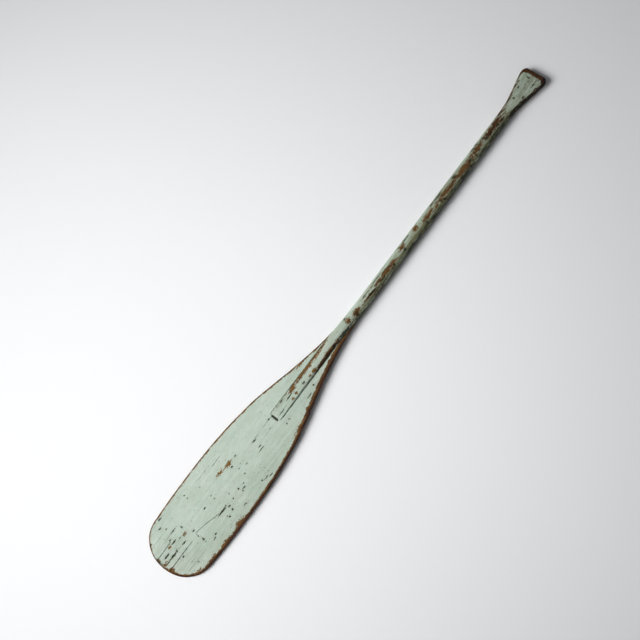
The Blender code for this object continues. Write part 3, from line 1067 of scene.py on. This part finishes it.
def worn_and_shaded_paint_material():
    """Mint paint over a dark green coat over brown wood, with painted shade darkening the -Y side."""
    graph = Graph("worn_and_shaded_mint_paint")
    mottle = graph.noise(110, 2.5, 4, 0.6)
    grain = graph.noise(900, 22, 4, 0.65)
    figure = graph.noise(240, 12, 4, 0.6, 0.3)
    mask = paint_masks(graph, mottle)
    bare = mask["bare"]
    chip_and_shade = mask["chip_and_shade"]
    undercoat_and_shade = graph.mix(mottle, UNDERCOAT_AND_SHADE_DARK, UNDERCOAT_AND_SHADE_LIGHT)
    colour = graph.layer(paint_colour(graph, mask), chip_and_shade, 0.96, undercoat_and_shade)
    colour = graph.mix(bare, colour, wood_colour(graph, grain, figure))
    colour = graph.layer(colour, graph.times(chip_and_shade, bare), 0.80, STAINED_WOOD)
    rough = graph.level(bare, graph.level(mottle, 0.50, 0.68), graph.level(grain, 0.70, 0.88))
    graph.shade(Base_Color=colour, Roughness=rough, Specular_IOR_Level=0.22)
    coats = ((bare, -0.16), (chip_and_shade, -0.12), (mask["lines"], -0.10), (mask["fleck"], -0.08))
    graph.relief(graph.total(*coats, (grain, 0.035), (graph.times(figure, bare), 0.22)))
    return graph.material


def bare_wood_material(name, pale, deep, roughness):
    """Plain wood with a lengthwise grain, for the blade's core and the dowels."""
    graph = Graph(name)
    grain = graph.noise(1100, 26, 4, 0.65)
    figure = graph.noise(210, 9, 4, 0.6, 0.4)
    stain = graph.noise(45, 3, 3, 0.6)
    colour = graph.mix(graph.times(grain, figure), deep, pale)
    colour = graph.mix(graph.step(stain, 0.48, 0.70), colour, deep)
    rough = graph.level(grain, roughness - 0.12, roughness + 0.06)
    graph.shade(Base_Color=colour, Roughness=rough)
    graph.relief(graph.total((grain, 0.10), (figure, 0.16)))
    return graph.material


def floor_material():
    """A pale floor that fades to the room's own colour in the distance, for the camera only."""
    graph = Graph("pale_floor")
    distance = graph.node("VectorMath", "Value", {0: graph.place}, operation="LENGTH")
    seen = graph.node("LightPath", "Is Camera Ray", {})
    far = graph.times(graph.step(distance, GLOW_START, GLOW_FULL), seen)
    glow = graph.times(far, ROOM_BRIGHTNESS)
    graph.shade(Base_Color=graph.mix(far, FLOOR_WHITE, BLACK), Roughness=0.85, Specular_IOR_Level=0.1)
    graph.shade(Emission_Color=ROOM_COLOUR, Emission_Strength=glow)
    return graph.material


# ---- assembly


def dress(piece, material, node, angle):
    """Finishes a piece that stands for a CAD node."""
    piece.data.materials.clear()
    piece.data.materials.append(material)
    smooth_shade(piece, angle)
    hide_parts(node)
    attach(piece, "root")


def build_blade(paint, core_wood):
    """The blade's three plies. The back is made facing up like the front, then mirrored."""
    front = face_veneer("worn_front_veneer", BLADE_CHIPS, BLADE_BARE, BLADE_SPLITS, SEED_FRONT)
    dress(front, paint, "blade_front_veneer", 50)

    chips = turned_over(BLADE_CHIPS, 19)
    bare = turned_over(BLADE_BARE, 0)
    splits = tuple(
        (tuple((s + 7, y * 0.7 + 9) for s, y in line), width) for line, width in BLADE_SPLITS[1:4]
    )
    back = face_veneer("worn_back_veneer", chips, bare, splits, SEED_BACK)
    back.data.transform(Matrix.Translation((0, 0, 2 * AXIS_Z)) @ Matrix.Scale(-1, 4, (0, 0, 1)))
    back.data.flip_normals()
    dress(back, paint, "blade_back_veneer", 50)

    dress(core_ply(), core_wood, "blade_core_ply", 40)


def build_shaft(paint):
    """The shaft and the two ears, with one field of wear and painted shade over all three."""
    shaft = shaft_piece()
    wear_and_shade_round(shaft, SEED_SHAFT)
    dress(shaft, paint, "shaft", 40)
    for side, label in ((1, "left"), (-1, "right")):
        ear = ear_piece(side, label)
        wear_and_shade_round(ear, SEED_SHAFT)
        dress(ear, paint, f"grip_ear_{label}", 40)


def build_floor():
    """A large pale floor, level under the shaft and a little higher under the blade."""
    rise = blade_back_low.z - cad_low.z - 1.2 * MM
    station = np.concatenate([[-FLOOR_REACH], np.linspace(-0.15, 0.75, 73), [FLOOR_REACH]])
    height = cad_low.z + rise * (1.0 - blend(station, -0.10, 0.70))
    near = np.column_stack([TIP_X + station, np.full(len(station), -FLOOR_REACH), height])
    far = np.column_stack([TIP_X + station, np.full(len(station), FLOOR_REACH), height])
    count = len(station)
    faces = [(index, index + 1, count + index + 1, count + index) for index in range(count - 1)]
    floor = new_piece("floor", np.vstack([near, far]), faces)
    floor.data.materials.append(floor_material())
    floor.data.polygons.foreach_set("use_smooth", [True] * len(floor.data.polygons))


def build_world():
    """A pale room that looks brighter to the camera than the light it gives."""
    world = bpy.data.worlds.new("soft_room")
    world.use_nodes = True
    background = world.node_tree.nodes["Background"]
    background.inputs["Color"].default_value = ROOM_COLOUR
    path = world.node_tree.nodes.new("ShaderNodeLightPath")
    strength = world.node_tree.nodes.new("ShaderNodeMapRange")
    strength.inputs["To Min"].default_value = ROOM_LIGHT
    strength.inputs["To Max"].default_value = ROOM_BRIGHTNESS
    world.node_tree.links.new(path.outputs["Is Camera Ray"], strength.inputs["Value"])
    world.node_tree.links.new(strength.outputs["Result"], background.inputs["Strength"])
    bpy.context.scene.world = world
    bpy.context.scene.view_settings.view_transform = "Standard"


def build_soft_box():
    """One large soft light beyond the blade's tip, on the +Y side."""
    lamp = bpy.data.lights.new("soft_box", "AREA")
    lamp.shape = "SQUARE"
    lamp.size = SOFT_BOX_SIZE
    lamp.spread = math.radians(SOFT_BOX_SPREAD)
    lamp.energy = SOFT_BOX_WATTS
    soft_box = bpy.data.objects.new("soft_box", lamp)
    soft_box.location = SOFT_BOX_PLACE
    aim = Vector(SOFT_BOX_AIM) - soft_box.location
    soft_box.rotation_euler = aim.to_track_quat("-Z", "Y").to_euler()
    bpy.context.scene.collection.objects.link(soft_box)


def build_camera():
    """Nearly overhead, tipped towards the -Y edge and turned, so that the paddle lies across the picture."""
    tip_over = math.radians(CAMERA_TIP)
    turn = math.radians(CAMERA_TURN)
    right = Vector((math.sin(turn), -math.cos(turn), 0))
    target = Vector((*CAMERA_AIM, AXIS_Z)) - CAMERA_SIDE_STEP * right
    away = Vector((0, -math.sin(tip_over), math.cos(tip_over)))
    across = Vector((0, -math.cos(tip_over), -math.sin(tip_over)))
    along = Vector((1, 0, 0))
    screen_right = math.cos(turn) * across + math.sin(turn) * along
    screen_up = math.cos(turn) * along - math.sin(turn) * across
    turned = Matrix((screen_right, screen_up, away)).transposed().to_4x4()
    camera = bpy.data.objects.new("camera", bpy.data.cameras.new("camera"))
    camera.matrix_world = Matrix.Translation(target + CAMERA_DISTANCE * away) @ turned
    camera.data.sensor_width = CAMERA_SENSOR
    camera.data.lens = CAMERA_LENS
    bpy.context.scene.collection.objects.link(camera)
    bpy.context.scene.camera = camera


def main():
    """Builds the pieces, then the stage."""
    paint = worn_and_shaded_paint_material()
    core_wood = bare_wood_material("weathered_core_wood", CORE_PALE, CORE_DEEP, 0.80)
    dowel_wood = bare_wood_material("dowel_wood", DOWEL_PALE, DOWEL_DEEP, 0.70)
    build_blade(paint, core_wood)
    build_shaft(paint)
    for name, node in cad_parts.items():
        if name.startswith("fork_dowel"):
            node.data.materials.clear()
            node.data.materials.append(dowel_wood)
    build_floor()
    build_world()
    build_soft_box()
    build_camera()


main()
